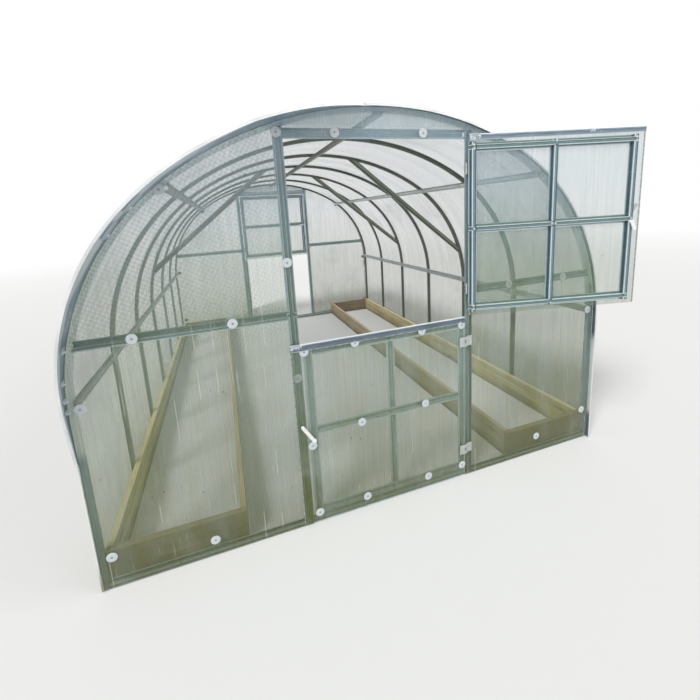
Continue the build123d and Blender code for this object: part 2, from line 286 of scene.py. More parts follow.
# Painted light across a hat profile: painted highlights on the bends and edges, painted shade on the sloping sides, and
# flanges painted as lit from above
PAINTED_HIGHLIGHT_LINE = (0.92, 0.98, 1.00)
UPRIGHT = tones(
    (-20.5, (0.62, 0.74, 0.80)), (-15.0, (0.33, 0.47, 0.55)), (-11.0, PAINTED_HIGHLIGHT_LINE),
    (-4.0, (0.06, 0.11, 0.14)), (7.0, (0.17, 0.28, 0.34)), (11.0, PAINTED_HIGHLIGHT_LINE),
    (15.5, (0.06, 0.11, 0.13)), (20.5, (0.26, 0.37, 0.39)), (25.0, (0.58, 0.69, 0.72)),
)
LEVEL = tones(
    (-20.5, PAINTED_HIGHLIGHT_LINE), (-15.0, (0.40, 0.54, 0.58)), (-12.0, (0.05, 0.09, 0.10)),
    (-8.0, PAINTED_HIGHLIGHT_LINE), (4.0, (0.15, 0.24, 0.25)), (8.0, (0.05, 0.09, 0.09)),
    (12.0, PAINTED_HIGHLIGHT_LINE), (21.0, (0.15, 0.25, 0.21)), (25.0, (0.36, 0.47, 0.43)),
)


def nearest(f, place, spots):
    """Distance from the nearest of some spots, with its sign."""
    best = place - spots[0]
    for spot in spots[1:]:
        other = place - spot
        closer = f.maths("LESS_THAN", f.maths("ABSOLUTE", other), f.maths("ABSOLUTE", best))
        best = best + (other - best) * closer
    return best


def bar_offset(f, across, z, bars):
    """Distance from the middle line of the nearest bar, each given as a point and the direction across it."""
    best = None
    for (px, pz), (cx, cz) in bars:
        off = f.maths("ABSOLUTE", (across - px) * cx + (z - pz) * cz)
        best = off if best is None else f.maths("MINIMUM", best, off)
    return best


def galvanised(
    name, colour, looks, metal=0.55, offset=None, bars=None, matrix=AS_BUILT, contrast=1.0, shift=None, sky=0.0
):
    """Zinc-coated steel: dull patches, streaks, spangle, grime, and the painted highlights and painted shade that a hat
    profile shows along it, with a painted reflection of the sky near the top where sky is given.
    """
    f = Finish(name)
    here = f.place()
    x, y, z = f.axes(here)
    patches = f.noise(here, 7.0, 5.0, 0.6)
    fine = f.noise(here, 90.0, 3.0, 0.6)
    spangle = f.axes(f.cells(here, 1.0 / looks.spangle, "Color"))[0]
    streaks = f.noise(f.vector(x * 60.0, y * 60.0, z * 2.5), 1.0, 3.0)
    scratches = f.ease(f.noise(f.vector(x * 9.0, y * 9.0, z * 160.0), 1.0, 2.0), 0.63, 0.72)
    tone = 0.5 + (patches - 0.5) * 0.9 + (spangle - 0.5) * 0.16 + (streaks - 0.5) * 0.4
    body = f.mix(f.clamp(tone, 0.0, 1.0), shade(colour, 0.74), shade(colour, 1.2))
    dull = f.ease(f.noise(here, 16.0, 6.0, 0.7), 0.56, 0.74)
    body = f.mix(dull * 0.2, body, (0.62, 0.64, 0.62, 1.0))
    if offset:
        across = offset(f, *(f.leaf_axes(matrix)))
        # Painted shade on the sloping webs and in the groove, painted highlights on the bends and cut edges
        web = f.ease(across, 0.0092, 0.0102) * f.ease(across, 0.0148, 0.0138)
        groove = f.ease(across, 0.0100, 0.0090)
        bend = f.ease(across, 0.0136, 0.0144) * f.ease(across, 0.0170, 0.0158)
        rim_highlights = f.clamp(bend + f.ease(across, 0.0215, 0.0228), 0.0, 1.0)
        body = f.mix(web * looks.web_shade * contrast, body, shade(colour, 0.28))
        body = f.mix(groove * looks.groove_shade * contrast, body, shade(colour, 0.45))
        body = f.mix(rim_highlights * looks.rim_light * contrast, body, (0.84, 0.89, 0.91, 1.0))
    if bars:
        # Painted highlights and painted shade across the posts, rails and bars, from the UPRIGHT and LEVEL ramps
        upright, level = bars(f, *(f.leaf_axes(matrix)))
        flat = f.maths("LESS_THAN", f.maths("ABSOLUTE", level), f.maths("ABSOLUTE", upright))
        painted_light_and_shade = f.mix(flat, f.ramp(upright * 20.0 + 0.5, UPRIGHT), f.ramp(level * 20.0 + 0.5, LEVEL))
        uneven = f.mix(f.clamp(tone, 0.0, 1.0), (0.72, 0.72, 0.72, 1.0), (1.0, 1.0, 1.0, 1.0))
        body = f.mix(contrast, body, f.mix(1.0, painted_light_and_shade, uneven, "MULTIPLY"))
        # Greener towards the bottom, and a painted reflection of the sky, bluish, near the top
        body = f.mix(f.ease(z, 1.3, 0.4) * 0.3 * contrast, body, (0.24, 0.34, 0.22, 1.0))
        body = f.mix(f.ease(z, 1.85, 1.95) * sky, body, (0.52, 0.66, 0.74, 1.0))
    if shift:
        amount, tint = shift(f, x, y, z)
        body = f.mix(amount, body, tint)
    low = f.ease(z, 0.45, 0.0) * f.ease(f.noise(here, 24.0, 4.0), 0.35, 0.65)
    body = f.mix(low * 0.3, body, (0.16, 0.14, 0.10, 1.0))
    body = f.mix(scratches * 0.14, body, (0.78, 0.8, 0.8, 1.0))
    rough = f.clamp(looks.rough + (fine - 0.5) * 0.3 + (dull * 0.18) + low * 0.2, 0.15, 0.9)
    height = patches * 0.5 + fine * 0.12 + spangle * 0.1
    return f.surface({
        "Base Color": body, "Roughness": rough,
        "Metallic": f.clamp(metal - dull * 0.3 - low * 0.3, 0.0, 1.0),
        "Normal": f.bump(height, 0.3, 0.002),
    })


def over_arches(f, x, y, z):
    """Distance along the house from the nearest arch."""
    half = (ARCH_YS[1] - ARCH_YS[0]) / 2
    return f.maths("ABSOLUTE", f.maths("WRAP", y - ARCH_YS[0], half, -half))


def over_purlins(f, x, y, z):
    """Distance across the ridge, the roof purlins and the side purlins."""
    bars = [((0.0, TOP), (1.0, 0.0))]
    for height in (TOP - ROOF_PURLIN_DROP, SIDE_PURLIN_Z):
        point, out = arch_side(PURLIN_FACE, height)
        bars.append(((point.x, point.z), (-out.z, out.x)))
    return bar_offset(f, f.maths("ABSOLUTE", x), z, bars)


def over_braces(f, x, y, z):
    """Distance across the straight corner braces, in the plane of their arch."""
    return bar_offset(f, f.maths("ABSOLUTE", x), z, [((0.36, 2.0957), (0.6293, 0.7772))])


def gable_bars(f, x, y, z):
    """Distances across the posts, and across the middle rails, the lintel and the bottom rails."""
    return nearest(f, x, (-POST_X, POST_X)), nearest(f, z, (HAT_WIDTH / 2, MIDDLE_RAIL_Z, LINTEL_Z))


def leaf_bars(heights, barred):
    """Distances across the stiles and the middle bar of a leaf, and across its rails."""
    def bars(f, x, y, z):
        return nearest(f, x, (-STILE_X, 0.0, STILE_X) if barred else (-STILE_X, STILE_X)), nearest(f, z, heights)
    return bars


def darker_left_purlins(f, x, y, z):
    """The ridge purlin and the roof purlin on the left are made darker."""
    return f.ease(x, 0.3, 0.1) * f.ease(z, 1.5, 1.6) * 0.75, (0.19, 0.21, 0.17, 1.0)


def pale_left(f, x, y, z):
    """The arches are painted paler on the left, standing in for the light of the hazy sheet before them."""
    return f.ease(x, -0.45, -0.85) * 0.55, (0.52, 0.57, 0.54, 1.0)


def behind_sheet(f, x, y, z):
    """The upper part of the front arch is painted as pale as the hazy sheet before it, standing in for the light of
    that sheet.
    """
    return f.ease(z - f.ease(x, 0.4, 0.9) * 0.42, 0.64, 0.72), (0.90, 0.95, 0.93, 1.0)


def twin_wall(name, looks, across, matrix=AS_BUILT, haze=1.0, edge=None, gable=False):
    """Twin-wall sheet: flutes, hazy streaks, faint white flutes, blotches, specks and a green film low down."""
    f = Finish(name)
    x, y, z = f.leaf_axes(matrix)
    flat = f.vector(x, y, z)
    side = {"X": x, "Y": y}[across]
    run = z if across == "X" else x * 0.35 + z
    cell = side / looks.flute
    ripple = f.maths("PINGPONG", cell, 0.5) * 2.0
    rib = f.ease(ripple, 0.62, 1.0)
    streaks = f.noise(f.vector(side * 70.0, run * 1.6, 0.0), 1.0, 4.0, 0.6)
    broad = f.noise(f.vector(side * 9.0, run * 0.8, 3.0), 1.0, 4.0, 0.55)
    line = side / looks.line
    luck = f.chance(line)
    length = f.noise(f.vector(luck * 40.0, run * 3.1, 0.0), 1.0, 1.0)
    core = f.ease(f.maths("PINGPONG", line, 0.5), 0.20, 0.42)
    white = f.ease(luck, 0.925, 0.935) * f.ease(length, 0.52, 0.60) * core
    drips = f.ease(f.noise(f.vector(side * 170.0, run * 4.0, 7.0), 1.0, 2.0), 0.67, 0.74)
    weave = f.maths("SINE", side * 235.0 + run * 60.0) * f.maths("SINE", run * 235.0 - side * 60.0)
    patch = f.noise(flat, 1.7, 5.0, 0.6, 0.4)
    blotch = f.ease(patch, 0.50, 0.74)
    specks = f.ease(f.cells(f.vector(side, run, 0.0), 17.0), 0.055, 0.035)
    specks = specks * f.ease(f.noise(flat, 3.0, 1.0), 0.5, 0.54)
    low = f.ease(z, looks.film_height, 0.0)
    film = low * (0.45 + f.noise(flat, 6.0, 5.0, 0.65) * 0.9)
    body = f.mix(f.ease(z, 0.35, 1.25), shade(looks.low_tint), shade(looks.middle_tint))
    body = f.mix(f.ease(z, 1.15, 1.95), body, shade(looks.high_tint))
    body = f.mix(f.ease(broad, 0.35, 0.7) * 0.35, body, shade(looks.high_tint, 1.1))
    body = f.mix(film * 0.5, body, shade(looks.film_tint))
    body = f.mix(f.clamp(white * 0.6 + drips * 0.4 + blotch * 0.25, 0.0, 1.0), body, (0.84, 0.88, 0.86, 1.0))
    body = f.mix(specks, body, (0.03, 0.03, 0.025, 1.0))
    cover = looks.haze * haze * (0.86 + rib * 0.30 + (streaks - 0.5) * 0.8 + (broad - 0.5) * 0.7)
    cover = cover + blotch * 0.10 + film * 0.10 + drips * 0.12 + specks * 0.6
    cover = cover + white * (0.14 + f.ease(x, 0.3, 0.6) * 0.16)
    if gable:
        checks = weave * looks.moire * f.ease(patch, 0.30, 0.55)
        checks = checks * f.ease(z, 0.9, 1.3) * f.ease(x, -0.45, -0.60)
        cover = cover + checks + f.ease(z, 2.04, 2.07) * 0.22
    if edge:
        rim, tint = edge(f, x, y, z)
        body = f.mix(rim, body, tint)
        cover = cover + rim * 0.8
    return f.surface({
        "Base Color": body, "Alpha": f.clamp(cover, 0.04, 0.96),
        "Roughness": f.clamp(0.16 + film * 0.3 + (streaks - 0.3) * 0.25, 0.08, 0.7),
        "Normal": f.bump(ripple + streaks * 0.4, 0.25, 0.0015), "IOR": 1.5,
    })


def painted_reach(f, z):
    """How far the front left edge of the cover stands out at each height."""
    return f.clamp((z - LEAN_LOW) / LEAN_RISE, 0.0, 1.0) * LEAN_REACH + FOOT_REACH


def cover_edge(f, x, y, z):
    """The pale cut edge along the front left of the cover."""
    lean = painted_reach(f, z)
    front = f.ease(y + lean, FRONT + 0.0045, FRONT + 0.0025) * f.ease(x, -0.7, -0.8)
    dirt = f.ease(z, 0.16, 0.02)
    return front, f.mix(dirt, (0.80, 0.81, 0.76, 1.0), (0.34, 0.27, 0.17, 1.0))


def free_edge(place, gap):
    """The open flutes along the free edge of a leaf's sheet: painted shade inside them, with lighter dots by turns."""
    def edge(f, x, y, z):
        rim = f.ease(x, place + 0.0040, place + 0.0030)
        dots = f.ease(f.noise(f.vector(z * 95.0, 0.0, 0.0), 1.0, 1.0), 0.45, 0.55)
        return rim, f.mix(dots, gap, (0.58, 0.62, 0.58, 1.0))
    return edge


def weathered_boards(name, along, dark, light, worn_tone):
    """Sawn boards gone grey and tan, damp and dark at the foot, pale along the top."""
    f = Finish(name)
    here = f.place()
    x, y, z = f.axes(here)
    run, side = (y, x) if along == "Y" else (x, y)
    grain = f.noise(f.vector(run * 3.0, side * 70.0, z * 75.0), 1.0, 6.0, 0.62, 0.7)
    rings = f.noise(f.vector(run * 0.8, side * 22.0, z * 26.0), 1.0, 4.0, 0.55, 1.4)
    fibre = f.noise(f.vector(run * 14.0, side * 300.0, z * 330.0), 1.0, 3.0, 0.6)
    knots = f.ease(f.cells(f.vector(run * 1.9, 0.0, z * 9.0), 1.0), 0.16, 0.05)
    worn = f.noise(here, 2.6, 5.0, 0.6)
    body = f.mix(f.ease(grain, 0.3, 0.72), dark, light)
    body = f.mix(f.ease(rings, 0.45, 0.62) * 0.5, body, (0.26, 0.18, 0.11, 1.0))
    body = f.mix(f.ease(worn, 0.38, 0.66) * 0.6, body, worn_tone)
    body = f.mix(knots * 0.8, body, (0.13, 0.08, 0.05, 1.0))
    body = f.mix(f.ease(z, 0.172, 0.178) * 0.6, body, shade(light, 1.35))
    damp = f.ease(z + (worn - 0.5) * 0.12, 0.09, 0.0)
    body = f.mix(damp * 0.75, body, (0.11, 0.09, 0.06, 1.0))
    cracks = f.ease(fibre * 0.5 + grain * 0.5, 0.36, 0.28)
    body = f.mix(cracks * 0.7, body, (0.09, 0.07, 0.05, 1.0))
    height = grain * 0.6 + fibre * 0.3 - cracks * 0.8
    return f.surface({
        "Base Color": body, "Roughness": f.clamp(0.78 + (fibre - 0.5) * 0.3 - damp * 0.2, 0.4, 1.0),
        "Normal": f.bump(height, 0.7, 0.003),
    })


def white_plastic(name, colour):
    """Moulded plastic, a little dusty and yellowed."""
    f = Finish(name)
    here = f.place()
    dust = f.noise(here, 55.0, 5.0, 0.65)
    patches = f.noise(here, 9.0, 3.0)
    body = f.mix(f.ease(dust, 0.45, 0.75) * 0.5, shade(colour), shade(colour, 0.74))
    body = f.mix(f.ease(patches, 0.5, 0.7) * 0.3, body, (0.78, 0.75, 0.62, 1.0))
    return f.surface({
        "Base Color": body, "Roughness": f.clamp(0.32 + dust * 0.3, 0.2, 0.8),
        "Normal": f.bump(f.noise(here, 700.0, 2.0), 0.12, 0.0004),
    })


def creased_tape(name, colour, looks, ends=None, creased=1.0, matrix=AS_BUILT):
    """Zinc strip bent by hand: broad soft dents, a few sharp creases with painted highlights, and painted shade and
    painted highlights where ends gives them.
    """
    f = Finish(name)
    x, y, z = f.leaf_axes(matrix)
    here = f.vector(x, y, z)
    creases = f.noise(here, 19.0, 3.0, 0.5, 1.2)
    large = f.noise(here, 5.0, 3.0, 0.5, 0.3)
    fine = f.noise(here, 160.0, 3.0)
    streaks = f.noise(f.vector(x * 4.0, y * 90.0, z * 4.0), 1.0, 3.0)
    tone = 0.5 + (large - 0.5) * 1.3 + (streaks - 0.5) * 0.7
    body = f.mix(f.clamp(tone, 0.0, 1.0), shade(colour, 0.72), shade(colour, 1.25))
    # Painted highlights along the sharp creases
    fold = f.ease(f.maths("ABSOLUTE", creases - 0.5), 0.020, 0.006) * f.ease(large, 0.5, 0.62)
    body = f.mix(fold * 0.6 * creased, body, (0.80, 0.84, 0.87, 1.0))
    dirt = f.ease(f.noise(here, 30.0, 6.0, 0.7), 0.60, 0.74)
    body = f.mix(dirt * 0.45, body, (0.15, 0.16, 0.15, 1.0))
    if ends:
        # Painted shade and painted highlights that ends gives
        dark, bright = ends(f, x, y, z)
        body = f.mix(dark * 0.6, body, shade(colour, 0.30))
        body = f.mix(bright * 0.85, body, (0.86, 0.90, 0.93, 1.0))
    return f.surface({
        "Base Color": body, "Roughness": f.clamp(looks.rough + (fine - 0.5) * 0.3 + dirt * 0.3, 0.15, 0.9),
        "Metallic": f.clamp(0.5 - dirt * 0.4, 0.0, 1.0),
        "Normal": f.bump(creases * 0.6 * creased + large * 0.6 + fine * 0.05, 0.5, 0.004),
    })


def dress(material, *names):
    """Gives these CAD nodes their finish."""
    for name in names:
        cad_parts[name].data.materials.clear()
        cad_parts[name].data.materials.append(material)


def clear():
    """Leaves edit mode with nothing selected."""
    if bpy.context.object and bpy.context.object.mode != "OBJECT":
        bpy.ops.object.mode_set(mode="OBJECT")
    bpy.ops.object.select_all(action="DESELECT")


def pick(obj, test, what="faces"):
    """In edit mode, selects the faces, edges or vertices that pass the test and no others."""
    bpy.ops.mesh.select_all(action="DESELECT")
    bpy.ops.mesh.select_mode(type={"faces": "FACE", "edges": "EDGE", "verts": "VERT"}[what])
    mesh = bmesh.from_edit_mesh(obj.data)
    for item in getattr(mesh, what):
        if test(item):
            item.select_set(True)
    mesh.select_flush_mode()
    bmesh.update_edit_mesh(obj.data)


def pick_all():
    """In edit mode, selects the whole mesh."""
    bpy.ops.mesh.select_all(action="SELECT")


def extrude(x, y, z):
    """In edit mode, draws what is selected out by this step."""
    bpy.ops.mesh.extrude_region_move(TRANSFORM_OT_translate={"value": (x, y, z)})


def edit(on=True):
    """Enters or leaves edit mode."""
    bpy.ops.object.mode_set(mode="EDIT" if on else "OBJECT")


def put_in_order(obj):
    """Sorts the vertices by place, so that a merge gives the same result each time."""
    mesh = bmesh.from_edit_mesh(obj.data)
    by_place = sorted(mesh.verts, key=lambda vertex: tuple(round(c, 5) for c in vertex.co))
    ranks = {vertex: rank for rank, vertex in enumerate(by_place)}
    mesh.verts.sort(key=lambda vertex: ranks[vertex])
    mesh.verts.index_update()
    bmesh.update_edit_mesh(obj.data)


def use_modifier(obj, kind, **settings):
    """Adds a modifier, sets it up and applies it."""
    made = obj.modifiers.new(kind.lower(), kind)
    for name, value in settings.items():
        setattr(made, name, value)
    bpy.ops.object.modifier_apply(modifier=made.name)


def settle(obj, name, body, material, replaced=(), angle=40.0):
    """Names a finished piece, puts its place into its mesh and ties it to its body."""
    clear()
    obj.select_set(True)
    bpy.context.view_layer.objects.active = obj
    bpy.ops.object.transform_apply(location=True, rotation=True, scale=True)
    bpy.ops.object.shade_smooth_by_angle(angle=math.radians(angle))
    obj.name = name
    obj.data.name = name
    if material:
        obj.data.materials.clear()
        obj.data.materials.append(material)
    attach(obj, body)
    if replaced:
        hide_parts(*replaced)
    return obj


def spread(template, places):
    """Copies a modelled piece to each place and joins the copies."""
    copies = []
    for place in places:
        clear()
        template.select_set(True)
        bpy.context.view_layer.objects.active = template
        bpy.ops.object.duplicate(linked=False)
        copy = bpy.context.object
        copy.matrix_world = place
        copies.append(copy)
    clear()
    for copy in copies:
        copy.select_set(True)
    bpy.context.view_layer.objects.active = copies[0]
    bpy.ops.object.join()
    return bpy.context.object


def facing(point, normal):
    """A place with its own Z along the normal."""
    return Matrix.Translation(point) @ Vector(normal).to_track_quat("Z", "Y").to_matrix().to_4x4()


def chain(points):
    """A line of edges through these points, grown from a plane that is merged to its centre."""
    clear()
    bpy.ops.mesh.primitive_plane_add(size=0.01, location=points[0])
    bpy.ops.object.transform_apply(location=True, rotation=False, scale=False)
    edit()
    bpy.ops.mesh.select_mode(type="VERT")
    pick_all()
    bpy.ops.mesh.merge(type="CENTER")
    for before, after in zip(points, points[1:]):
        extrude(*(Vector(after) - Vector(before)))
    return bpy.context.object


def noise_texture(name, size, depth=3):
    made = bpy.data.textures.new(name, "CLOUDS")
    made.noise_scale = size
    made.noise_depth = depth
    return made


def group(obj, name, test):
    """A vertex group of the vertices that pass the test."""
    pick(obj, test, "verts")
    bpy.ops.object.vertex_group_add()
    obj.vertex_groups.active.name = name
    bpy.ops.object.vertex_group_assign()


def dent(obj, skin, test, texture, depth, middle):
    """Dents the vertices that pass the test along their normals."""
    group(obj, skin, test)
    edit(False)
    settings = {"texture_coords": "LOCAL", "strength": depth, "mid_level": middle, "vertex_group": skin}
    use_modifier(obj, "DISPLACE", texture=texture, **settings)


def arch_side(inset, height):
    """Point of the right half of the arch line at a height, and the direction out of the house there."""
    if height < LEG_HEIGHT:
        return Vector((HALF - inset, 0, height)), Vector((1, 0, 0))
    radius = SHOULDER_RADIUS - inset
    if height > LEG_HEIGHT + radius * math.sin(TURN):
        up = (height - CROWN_Z) / (CROWN_RADIUS - inset)
        out = Vector((math.sqrt(1 - up * up), 0, up))
        return Vector((0, 0, CROWN_Z)) + out * (CROWN_RADIUS - inset), out
    up = (height - LEG_HEIGHT) / radius
    out = Vector((math.sqrt(1 - up * up), 0, up))
    return Vector((SHOULDER_X, 0, LEG_HEIGHT)) + out * radius, out


# Centre and radius of each curve of the arch line
CENTRES = {
    "crown": ((0, 0, CROWN_Z), CROWN_RADIUS),
    "right shoulder": ((SHOULDER_X, 0, LEG_HEIGHT), SHOULDER_RADIUS),
    "left shoulder": ((-SHOULDER_X, 0, LEG_HEIGHT), SHOULDER_RADIUS),
}


def arch_zone(point):
    """The length of the arch line that a point lies on."""
    if math.atan2(point.z - CROWN_Z, abs(point.x)) > TURN:
        return "crown"
    side = "right" if point.x > 0 else "left"
    return side + (" shoulder" if point.z > LEG_HEIGHT else " leg")


def length_setting(name, description, default, lowest=0.0):
    """A length that can be changed in the panel, in metres."""
    return FloatProperty(name=name, description=description, default=default, min=lowest, unit="LENGTH")


def share_setting(name, description, default):
    """A share from 0 to 1 that can be changed in the panel."""
    return FloatProperty(name=name, description=description, default=default, min=0.0, max=1.0, subtype="FACTOR")


def colour_setting(name, description, default):
    """A linear colour that can be changed in the panel."""
    return FloatVectorProperty(name=name, description=description, default=default, subtype="COLOR", min=0, max=1)


def strength_setting(name, description, default):
    """The strength of a light, which can be changed in the panel."""
    return FloatProperty(name=name, description=description, default=default, min=0.0)


class SheetLooks(PropertyGroup):
    flute: length_setting("Flute width", "Width of one channel of the twin-wall sheet", 0.0105, 0.002)
    line: length_setting("White flute", "Room that each faint white flute may stand in", 0.0075, 0.002)
    haze: share_setting("Haze", "How much each face of a sheet hides", 0.25)
    moire: share_setting("Checks", "How strong the small checks between the walls are", 0.075)
    film_height: length_setting("Film height", "Height that the green film reaches", 0.75)
    low_tint: colour_setting("Lower tint", "Colour of the sheets near the ground", (0.17, 0.22, 0.07))
    middle_tint: colour_setting("Middle tint", "Colour of the sheets at chest height", (0.22, 0.30, 0.18))
    high_tint: colour_setting("Upper tint", "Colour of the sheets near the roof", (0.36, 0.47, 0.52))
    film_tint: colour_setting("Film tint", "Colour of the film of algae and soil", (0.15, 0.15, 0.05))


class SteelLooks(PropertyGroup):
    spangle: length_setting("Spangle size", "Width of the zinc crystals", 0.012, 0.002)
    rough: share_setting("Roughness", "How dull the zinc is", 0.38)
    web_shade: share_setting("Web shade", "How dark the sloping sides of a profile are", 0.75)
    groove_shade: share_setting("Groove shade", "How dark the bottom of a profile is", 0.45)
    rim_light: share_setting("Rim light", "How bright the bends and cut edges of a profile are", 0.7)
    arch: colour_setting("Arches", "Zinc of the arches", (0.24, 0.27, 0.22))
    brace: colour_setting("Braces", "Zinc of the corner braces", (0.26, 0.29, 0.23))
    purlin: colour_setting("Purlins", "Zinc of the purlins", (0.56, 0.60, 0.58))
    gable: colour_setting("Gable frames", "Zinc of the gables and most leaves", (0.34, 0.46, 0.50))
    leaf: colour_setting("Lower leaf", "Zinc of the front lower leaf", (0.74, 0.88, 0.84))
    front_arch: colour_setting("Front arch", "Zinc of the legs of the front arch", (0.29, 0.40, 0.49))
    strip: colour_setting("Edge strip", "Zinc of the strip round the edge", (0.29, 0.38, 0.46))


class FittingSizes(PropertyGroup):
    washer: length_setting("Washer width", "Across the white washers", 0.047, 0.01)
    washer_rise: length_setting("Washer rise", "How far a washer stands off its sheet", 0.0034, 0.001)
    screw: length_setting("Screw head", "Across the flange of a screw", 0.012, 0.004)
    white: colour_setting("Latch plastic", "Colour of the latches", (0.86, 0.88, 0.87))
    pale: colour_setting("Washer plastic", "Colour of the washers", (0.60, 0.65, 0.68))


class EdgeSizes(PropertyGroup):
    shoulder: length_setting("Left overhang", "How far the cover stands out over the left shoulder", 0.150)
    right: length_setting("Right overhang", "How far the cover stands out at the front right", 0.025)
    rear: length_setting("Rear overhang", "How far the cover stands out at the rear", 0.070)
    low_end: length_setting("Lower end", "Height at which the strip ends on the front left leg", 0.66)
    gap: length_setting("Strip gap", "From the outside of the cover to the strip", 0.0105)
    dent: length_setting("Dents", "How deep the strip is dented", 0.006)
    steps: IntProperty(name="Steps", description="Lengths that one leg of the strip is made of", default=22, min=4)


class StageLooks(PropertyGroup):
    floor: colour_setting("Floor", "Colour of the floor", (0.80, 0.80, 0.79))
    key: strength_setting("Key light", "Strength of the light from the left", 2.5)
    fill: strength_setting("Room light", "Strength of the light from all round", 0.42)


class GREENHOUSE_OT_steel(Operator):
    """Galvanised finish on arches, purlins, gable frames, leaves and hinges"""

    bl_idname = "greenhouse.steel"
    bl_label = "Finish steel"

    def execute(self, context):
        looks = context.scene.steel_looks
        zinc = galvanised("zinc_on_arches", looks.arch, looks, offset=over_arches, contrast=0.8, shift=pale_left)
        dress(zinc, *ARCH_NAMES[1:])
        zinc = galvanised("zinc_on_front_arch", looks.front_arch, looks, metal=0.2, shift=behind_sheet)
        dress(zinc, ARCH_NAMES[0])
        dress(galvanised("zinc_on_braces", looks.brace, looks, offset=over_braces, contrast=0.8), "roof_braces")
        zinc = galvanised("zinc_on_purlins", looks.purlin, looks, offset=over_purlins, contrast=0.8, shift=darker_left_purlins)
        dress(zinc, "ridge_purlin", "roof_purlins", "side_purlins")
        zinc = galvanised("zinc_on_gables", looks.gable, looks, metal=0.35, bars=gable_bars, contrast=0.92, sky=0.5)
        dress(zinc, *[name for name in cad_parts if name.endswith(("_posts", "_rails"))])
        for leaf, matrix in LEAVES.items():
            bars = leaf_bars(LEAF_RAILS[half_of(leaf)], leaf.startswith("front"))
            colour, contrast = (looks.leaf, 0.42) if leaf == "front_lower_door" else (looks.gable, 0.92)
            zinc = galvanised("zinc_on_" + leaf, colour, looks, metal=0.35, bars=bars, matrix=matrix, contrast=contrast)
            dress(zinc, leaf + "_frame")
        hinges = [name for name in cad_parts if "hinge" in name]
        dress(galvanised("zinc_on_hinges", looks.purlin, looks, metal=0.8), *hinges)
        return {"FINISHED"}


class GREENHOUSE_OT_sheets(Operator):
    """Hazy twin-wall finish on the cover, the gables and the four leaves"""

    bl_idname = "greenhouse.sheets"
    bl_label = "Finish sheets"

    def execute(self, context):
        looks = context.scene.sheet_looks
        dress(twin_wall("twin_wall_cover", looks, "Y", haze=0.9, edge=cover_edge), "front_cover", "rear_cover")
        dress(twin_wall("twin_wall_gable", looks, "X", gable=True), "front_sheets", "rear_sheets")
        for leaf, matrix in LEAVES.items():
            half = half_of(leaf)
            # Painted shade inside the open flutes, lighter on the upper leaf
            gap = (0.10, 0.12, 0.10, 1.0) if half == "lower" else (0.30, 0.35, 0.36, 1.0)
            sheet = twin_wall("twin_wall_" + leaf, looks, "X", matrix, 1.1, free_edge(FREE_EDGES[half], gap))
            dress(sheet, leaf + "_sheet")
        return {"FINISHED"}


class GREENHOUSE_OT_boards(Operator):
    """Weathered finish on the boards of the two beds"""

    bl_idname = "greenhouse.boards"
    bl_label = "Finish boards"

    def execute(self, context):
        for place, along, dark, light, worn_tone in (
            ("outer", "Y", (0.42, 0.35, 0.17, 1), (0.72, 0.64, 0.38, 1), (0.58, 0.52, 0.33, 1)),
            ("inner", "Y", (0.26, 0.20, 0.12, 1), (0.52, 0.43, 0.28, 1), (0.36, 0.34, 0.27, 1)),
            ("end", "X", (0.15, 0.12, 0.08, 1), (0.33, 0.27, 0.18, 1), (0.24, 0.21, 0.16, 1)),
        ):
            dress(weathered_boards(place + "_boards", along, dark, light, worn_tone), place + "_bed_boards")
        return {"FINISHED"}


class GREENHOUSE_OT_latches(Operator):
    """White plastic on the four turn latches"""

    bl_idname = "greenhouse.latches"
    bl_label = "Finish latches"

    def execute(self, context):
        latches = [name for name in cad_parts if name.endswith("_latch")]
        dress(white_plastic("latch_plastic_white", context.scene.fitting_sizes.white), *latches)
        return {"FINISHED"}


